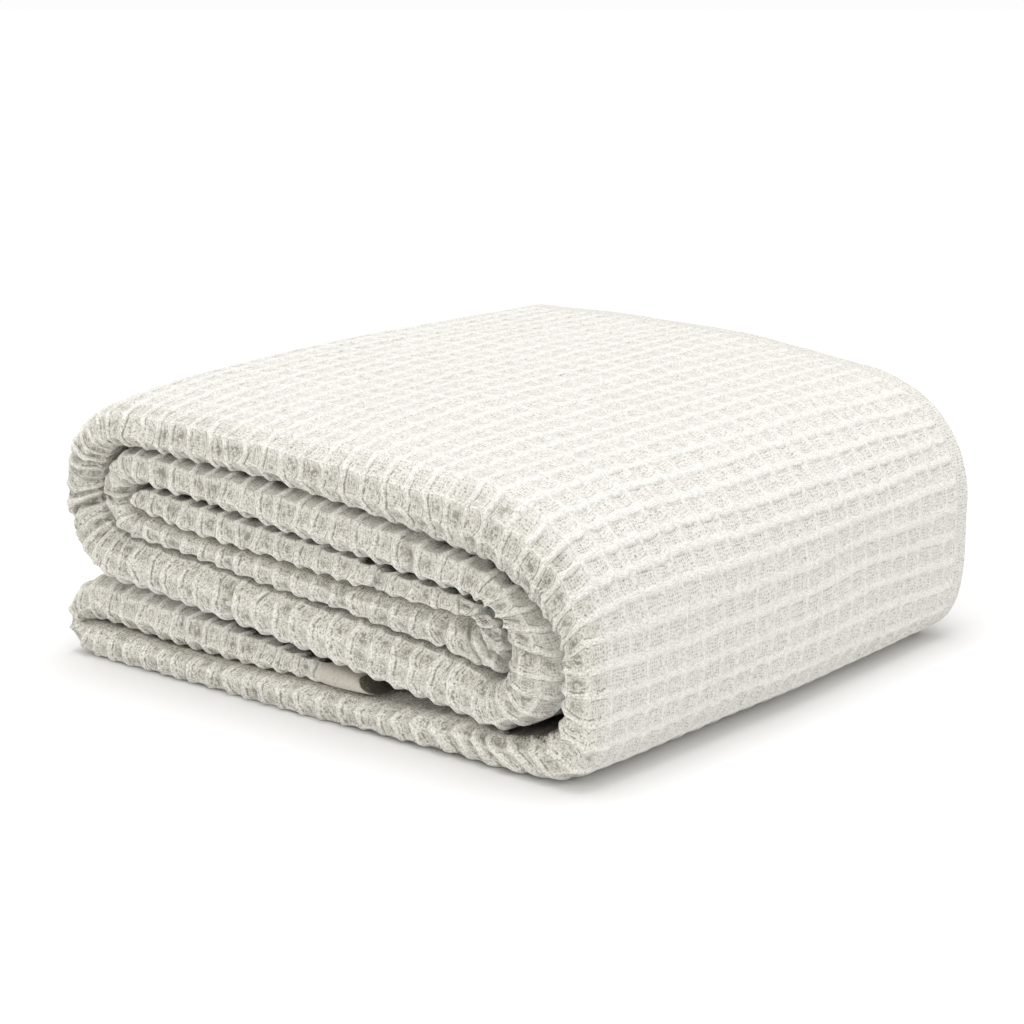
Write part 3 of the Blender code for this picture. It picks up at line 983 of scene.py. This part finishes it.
# %% Cotton
YARN_SURFACE = {"Roughness": 0.92, "Specular IOR Level": 0.25, "Sheen Weight": 0.2,
                "Sheen Roughness": 0.5}
FLUFF_SHARE, THREAD_SHARE, LINT_SHARE, LINE_DIP = 0.8, 0.6, 0.35, 0.8
GRAIN_TOP, GRAIN_DARK, GRAIN_RIM = 0.98, 1.45, 0.5
FACE_DARK, CREST_CLEAN, GAP_FULL, GAP_GRAIN = 1.02, 0.18, 2.4, 1.4
BUMP_STRENGTH, BUMP_HEIGHT = 0.9, 0.5          # height in mm


def with_grain(n, colour, grain, woven):
    """The colour, darker between the threads, and painted dark with shade inside the gaps."""
    rim = n.fact("rim")
    dark = n.times(n.maths("SUBTRACT", GRAIN_TOP, grain), n.scaled(rim, GRAIN_RIM, GRAIN_DARK))
    if not woven:
        return n.blend_colour(dark, colour, SHADED)
    crest = n.times(n.fact("raised"), n.maths("SUBTRACT", 1.0, rim))
    dark = n.times(dark, n.scaled(crest, -CREST_CLEAN, FACE_DARK))
    colour = n.blend_colour(dark, colour, SHADED)
    # Painted shade inside the gaps and on the hem's turned end.
    shut = n.times(n.fact("gap"), n.scaled(grain, -GAP_GRAIN, GAP_FULL))
    return n.blend_colour(shut, colour, GAP_SHADE)


def cotton(name, woven):
    """The cloth's material.  Only a woven face has the facts of its relief."""
    material = bpy.data.materials.new(name)
    material.use_nodes = True
    n = Nodes(material)
    surface = material.node_tree.nodes["Principled BSDF"]
    for socket, value in YARN_SURFACE.items():
        surface.inputs[socket].default_value = value
    spot = n.add("ShaderNodeTexCoord").outputs["Object"]
    fluff, lint, stray = n.noise(spot, FLUFF), n.noise(spot, LINT), n.noise(spot, STRAY)
    cloth = n.add("ShaderNodeSeparateXYZ")
    n.put(cloth.inputs[0], n.add("ShaderNodeUVMap", uv_map="cloth").outputs[0])
    along = n.scaled(lint, THREAD_WANDER * MM, cloth.outputs[0])
    across = n.scaled(stray, THREAD_WANDER * MM, cloth.outputs[1])
    thread = plain_weave(n, along, across, stray)
    if woven:
        line = broken_line(n, lint)
        colour = relief_colour(n, line, lint, fluff)
        thread = relief_threads(n, along, across, thread, lint, stray)
    else:
        colour = n.blend_colour(0.5, SHADED_PIT_IVORY, IVORY)
    grain = n.scaled(fluff, FLUFF_SHARE, n.times(thread, THREAD_SHARE))
    grain = n.scaled(n.maths("SUBTRACT", lint, 0.5), LINT_SHARE, grain)
    if woven:
        grain = n.scaled(line, -LINE_DIP, grain)
    n.put(surface.inputs["Base Color"], with_grain(n, colour, grain, woven))
    bump = n.add("ShaderNodeBump")
    bump.inputs["Strength"].default_value = BUMP_STRENGTH
    bump.inputs["Distance"].default_value = BUMP_HEIGHT * MM
    n.put(bump.inputs["Height"], grain)
    n.put(surface.inputs["Normal"], bump.outputs[0])
    print(f"{name}: {len(material.node_tree.nodes)} nodes")
    return material


WOVEN, PLAIN = cotton("woven_cotton", True), cotton("plain_cotton", False)

# %% [markdown]
# ## The woven faces that show
# The outer wrap is woven right over its outer face, from the front rim to the free edge
# at the back.  Where runs lie against each other, only their rims show, so the weave
# goes round the rim and a little way into the gap, where it calms down.

# %% Calm functions
CALM_PAST, CALM_OVER, CALM_LEAST = 0.1, 0.6, 0.35
EDGE_PLAIN, EDGE_FADE = 0.75, 0.2
BACK_PAST, BACK_LEAST = 0.4, 0.25


def calm_below(rows, v):
    """Full relief, but calm in the gap under the strip and plain at the free edge."""
    below = smooth_step((v - NOSE + quarter_turn(rows) + CALM_PAST) / CALM_OVER)
    edge = smooth_step((CELLS_TO_EDGE - EDGE_PLAIN - v) / EDGE_FADE)
    return (CALM_LEAST + (1.0 - CALM_LEAST) * below) * edge


def calm_none(rows, v):
    return np.zeros(v.shape)


def calm_back(rows, v):
    """Full relief round the fold at the back, and calm inside."""
    quarter = 0.5 * np.pi * BACK_FOLD * thickness(rows) / CELL_BACK
    inside = smooth_step((quarter + BACK_PAST - np.abs(v)) / BACK_PAST)
    return BACK_LEAST + (1.0 - BACK_LEAST) * inside


# %% [markdown]
# A face runs from start to end along the strip, and from low to high across it, in cells.
# Every second stop is enough for a face that hardly shows.  `shut` tells which gaps are
# dark: 0 the one below the strip, 1 the one above it too, -1 neither.

# %% Where each woven face starts and ends
LEFT, TOP = place("turn to top", -25.0), place("top", 5.0)
RIGHT, BOTTOM = place("turn to bottom"), place("bottom", 15.0)
CORNER, HEM = place("turn to hem_end", -12.0), place("hem_end", 12.0)
INTO_GAP, DEEPER, RIM_OVER = -2.3, -3.9, 2.6
BEFORE_EDGE, PAST_EDGE, ROUND_BACK = 1.0, 1.2, 1.3
ROUND_EDGE = CELLS_TO_EDGE + PAST_EDGE
Face = namedtuple("Face", "name start end low high every shut outline calm",
                  defaults=(1, 0, front_outline, calm_below))
FACES = (
    Face("weave_left", LEFT, TOP, INTO_GAP, ROUND_EDGE),
    Face("weave_top", TOP, RIGHT, DEEPER, ROUND_EDGE),
    Face("weave_right", RIGHT, BOTTOM, DEEPER, ROUND_EDGE),
    Face("weave_corner", CORNER, HEM, INTO_GAP, ROUND_EDGE),
    Face("weave_roll", 0.0, LEFT, INTO_GAP, RIM_OVER, shut=1),
    Face("weave_base", BOTTOM, CORNER, DEEPER, RIM_OVER),
    Face("weave_hem", HEM, STRIP_END, INTO_GAP, RIM_OVER, shut=1),
    Face("weave_under", BOTTOM, CORNER, RIM_OVER, ROUND_EDGE, 2),
    Face("edge_roll", 0.0, LEFT, CELLS_TO_EDGE - BEFORE_EDGE, ROUND_EDGE, 2, -1),
    Face("edge_hem", HEM, STRIP_END, CELLS_TO_EDGE - BEFORE_EDGE, ROUND_EDGE, 2, -1),
    Face("edge_lower", 0.0, STRIP_END, -BEFORE_EDGE, PAST_EDGE, 2, -1,
         lower_edge_outline, calm_none),
    Face("weave_back", 0.0, STRIP_END, -ROUND_BACK, ROUND_BACK, 2, -1,
         back_outline, calm_back),
)

# %% [markdown]
# Each face gets the same stops in every cell, closer ones where the strip ends or the
# free edge turns, and then its relief.

# %% Weave them
for face in FACES:
    u = cell_grid(cells_at(face.start), cells_at(face.end), ALONG_STOPS[::face.every])
    if face.end == STRIP_END:
        u = np.concatenate([u[u < u[-1] - END_REACH], u[-1] - END_STOPS])
    v = cell_grid(face.low, face.high, ACROSS_STOPS[::face.every])
    turn_at = 0.0 if face.outline is lower_edge_outline else CELLS_TO_EDGE
    if face.outline is not back_outline and face.high > turn_at:
        v = np.concatenate([v[v < turn_at - 0.5 * LEAST_STEP], turn_at + EDGE_STOPS])
    points, cloth_uv, facts = woven_points(u, v, face.outline, face.calm, face.shut)
    faces = grid_faces(len(u), len(v))
    CLOTH.append(cloth_object(face.name, points, faces, cloth_uv, WOVEN, facts))

# %% [markdown]
# ## The leaves inside
# Everything deeper in the gaps is the same sheet, seen only as dark cloth.  It is one
# closed sheet with all six layers, a few millimetres inside the woven faces.  Its section
# goes back and forth between the rims; each point of it has a direction in which the
# sheet's two sides stand off.  The radii of its folds are counted in layers.

# %% Section of the sheet
LEAF_INSET, LEAST_THICK = 3.8, 3.0     # mm, and how many insets thick the strip counts
LEAF_STOPS = (0.2, 0.5, 0.8)
WIDE_FOLD, MIDDLE_FOLD, TIGHT_FOLD = 2.5 * LAYER, 1.5 * LAYER, 0.5 * LAYER
TUCKED = 0.3 * LAYER                   # how far the innermost fold lies behind the others


def fold(rim, centre, radius, start, end, steps):
    """Points of a fold: rim, depth and height in thicknesses, and their normals."""
    angle = np.radians(np.linspace(start, end, steps + 1))
    out = np.stack([np.cos(angle), np.sin(angle)], axis=1)
    inward = -1.0 if end > start else 1.0
    return np.column_stack([np.full(len(angle), rim), centre + radius * out, inward * out])


def leaf_section():
    """Rows of rim, depth, height and normal, from one free edge to the other."""
    middle, low_middle = SKIN + WIDE_FOLD, SKIN + MIDDLE_FOLD
    front, back = np.array([middle, middle]), np.array([-low_middle, low_middle])
    tuck = front + (TUCKED, 0.0)
    edge = -EDGE_INSET
    folds = [
        np.array([[1.0, edge, SKIN + (LAYERS - 1) * LAYER, 0.0, -1.0]]),
        fold(0.0, front, WIDE_FOLD, 90, 270, 6),
        fold(1.0, back, MIDDLE_FOLD, -90, 90, 4),
        fold(0.0, tuck, TIGHT_FOLD, 90, 270, 2),
        fold(1.0, back, TIGHT_FOLD, 90, -90, 2),
        fold(0.0, front, MIDDLE_FOLD, 270, 90, 4),
        np.array([[1.0, edge, SKIN + (LAYERS - 2) * LAYER, 0.0, 1.0]]),
    ]
    line = [folds[0]]
    for before, after in zip(folds, folds[1:]):
        a, b = before[-1], after[0]
        stops = LEAF_STOPS if a[0] == 0.0 else LEAF_STOPS[::-1]
        share = np.abs(np.array(stops) - a[0])[:, None]
        straight = a + (b - a) * share
        straight[:, 3:] = a[3:]
        line += [straight, after]
    return np.concatenate(line)


# %% [markdown]
# The section is repeated along the strip, once for each side of the sheet, and the two
# sides are joined round the edge, so that the sheet is closed like the real one.

# %% Both sides of the sheet, joined round its edge
LEAF_ROWS, LEAF_END, LEAF_UV = 260, 2.0, (9.0, 25.0)


def leaf_side(rows, section, offset):
    """One side of the sheet, a grid of rows along the strip and points of the section."""
    rim, depth, height = section[:, 0], section[:, 1], section[:, 2]
    depth, height = depth + offset * section[:, 3], height + offset * section[:, 4]
    thick = thickness(rows)[:, None]
    inner_share = 1.0 - 2.0 * LEAF_INSET / np.maximum(thick, LEAST_THICK * LEAF_INSET)
    height = 0.5 + (height - 0.5) * inner_share
    inset = LEAF_INSET * (1.0 - 2.0 * rim)
    y = rows[:, 4:5] + (rows[:, 5:6] - rows[:, 4:5]) * rim + depth * thick + inset
    return stack_point(rows[:, None, :], y, height)


def leaves():
    """The two sides are grids, and a strip of faces joins them all round."""
    section = leaf_section()
    rows = path_at(np.linspace(LEAF_END, STRIP_END - LEAF_END, LEAF_ROWS))
    sides = [leaf_side(rows, section, offset) for offset in (-SKIN, SKIN)]
    count, columns = sides[0].shape[0] * sides[0].shape[1], len(section)
    grid = grid_faces(LEAF_ROWS, columns)
    ids = np.arange(count).reshape(LEAF_ROWS, columns)
    edge = np.concatenate([ids[0], ids[1:, -1], ids[-1, -2::-1], ids[-2:0:-1, 0]])
    after = np.roll(edge, -1)
    rim = np.stack([edge, after, after + count, edge + count], axis=1)
    faces = np.concatenate([grid[:, ::-1], grid + count, rim])
    cloth = np.stack([ids // columns, ids % columns], axis=-1) * LEAF_UV * MM
    return cloth_object("leaves", np.stack(sides), faces, np.stack([cloth, cloth]), PLAIN, {})


LEAVES = leaves()

# %% [markdown]
# ## Put each piece on the frame
# The leaves are the blanket's cloth, and the woven faces and the edges are pieces of the
# same cloth.  All of them ride on the frame's root and take the place of the solid, which
# is hidden, and they lie on the floor.

# %% Ride and replace
for piece in [LEAVES] + CLOTH:
    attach(piece, "root")
    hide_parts(NODE)

# %% [markdown]
# ## Floor, light and camera
# A pale floor and large soft lights, as for a catalogue picture.  A wide sun stands
# almost straight above, so the top is nearly white and the sides are in shade.  The sky
# fills them in, brightest towards the front and right, and warmer the other way.

# %% Floor
FLOOR_PALE, FLOOR_REACH = (0.84, 0.84, 0.84, 1.0), 150.0


def floor_material():
    material = bpy.data.materials.new("pale_floor")
    material.use_nodes = True
    surface = material.node_tree.nodes["Principled BSDF"]
    surface.inputs["Base Color"].default_value = FLOOR_PALE
    surface.inputs["Roughness"].default_value = 1.0
    surface.inputs["Specular IOR Level"].default_value = 0.0
    return material


floor_mesh = bpy.data.meshes.new("floor")
corners = [(x * FLOOR_REACH, y * FLOOR_REACH, 0.0) for x, y in ((-1, -1), (1, -1), (1, 1), (-1, 1))]
floor_mesh.from_pydata(corners, [], [(0, 1, 2, 3)])
floor_mesh.materials.append(floor_material())
floor = bpy.data.objects.new("floor", floor_mesh)
bpy.context.scene.collection.objects.link(floor)

# %% Light
SUN_FROM, SUN_STRENGTH, SUN_SOFT = (-0.08, 0.08, 1.0), 1.52, np.radians(40.0)
SUN_COLOUR, SKY_COLOUR, SKY_WARM = (0.96, 0.98, 1.03), (1.0, 0.99, 0.965), (1.0, 0.96, 0.87)
SKY_BASE, SKY_LEAN, SKY_FROM = 0.70, 0.49, (0.53, -0.67, 0.50)
HORIZON, HORIZON_FADE, HORIZON_WHITE, TINT_SPREAD = 0.10, 1.5, 0.985, 1.5


def sun():
    lamp = bpy.data.lights.new("sun", "SUN")
    lamp.energy, lamp.angle, lamp.color = SUN_STRENGTH, SUN_SOFT, SUN_COLOUR
    thing = bpy.data.objects.new("sun", lamp)
    thing.rotation_euler = (-Vector(SUN_FROM)).to_track_quat("-Z", "Y").to_euler()
    bpy.context.scene.collection.objects.link(thing)


def studio():
    """A white room, brighter to the front and right, with a white band at the horizon."""
    world = bpy.data.worlds.new("studio")
    world.use_nodes = True
    n = Nodes(world)
    where = n.add("ShaderNodeTexCoord").outputs["Generated"]
    lean = n.add("ShaderNodeVectorMath", operation="DOT_PRODUCT")
    n.put(lean.inputs[0], where)
    lean.inputs[1].default_value = SKY_FROM
    up = n.add("ShaderNodeSeparateXYZ")
    n.put(up.inputs[0], where)
    away = n.maths("DIVIDE", n.maths("ABSOLUTE", up.outputs[2]), HORIZON)
    level = n.held(n.scaled(away, -HORIZON_FADE, HORIZON_FADE))
    sky = world.node_tree.nodes["Background"]
    room = n.scaled(lean.outputs["Value"], SKY_LEAN, SKY_BASE)
    n.put(sky.inputs["Strength"], n.blend(level, room, HORIZON_WHITE))
    cool = n.held(n.times(lean.outputs["Value"], TINT_SPREAD))
    tint = n.blend_colour(cool, SKY_WARM, SKY_COLOUR)
    n.put(sky.inputs["Color"], n.blend_colour(level, tint, (1.0, 1.0, 1.0)))
    bpy.context.scene.world = world


sun()
studio()
bpy.context.scene.view_settings.view_transform = "Standard"
print("sun of strength", SUN_STRENGTH, "from", SUN_FROM)

# %% [markdown]
# The camera stands where the photographer stood: a little above the stack, to the right
# of its front end.  Its place, heading and lens were fitted to the edges of the stack.

# %% Camera
HEADING, RAISED = np.radians(39.35), np.radians(13.02)
EYE = (0.7114, -0.8812, 0.3316)
SENSOR, LENS = 36.0, 76.76             # mm
level_reach = np.cos(RAISED)
back = Vector((np.sin(HEADING) * level_reach, -np.cos(HEADING) * level_reach, np.sin(RAISED)))
aside = Vector((np.cos(HEADING), np.sin(HEADING), 0.0))
above = back.cross(aside)
lens = bpy.data.cameras.new("camera")
lens.sensor_width, lens.lens = SENSOR, LENS
camera = bpy.data.objects.new("camera", lens)
camera.matrix_world = Matrix((
    (aside.x, above.x, back.x, EYE[0]),
    (aside.y, above.y, back.y, EYE[1]),
    (aside.z, above.z, back.z, EYE[2]),
    (0.0, 0.0, 0.0, 1.0)))
bpy.context.scene.collection.objects.link(camera)
bpy.context.scene.camera = camera
print("camera at", EYE, "m, with a lens of", round(lens.lens, 1), "mm")
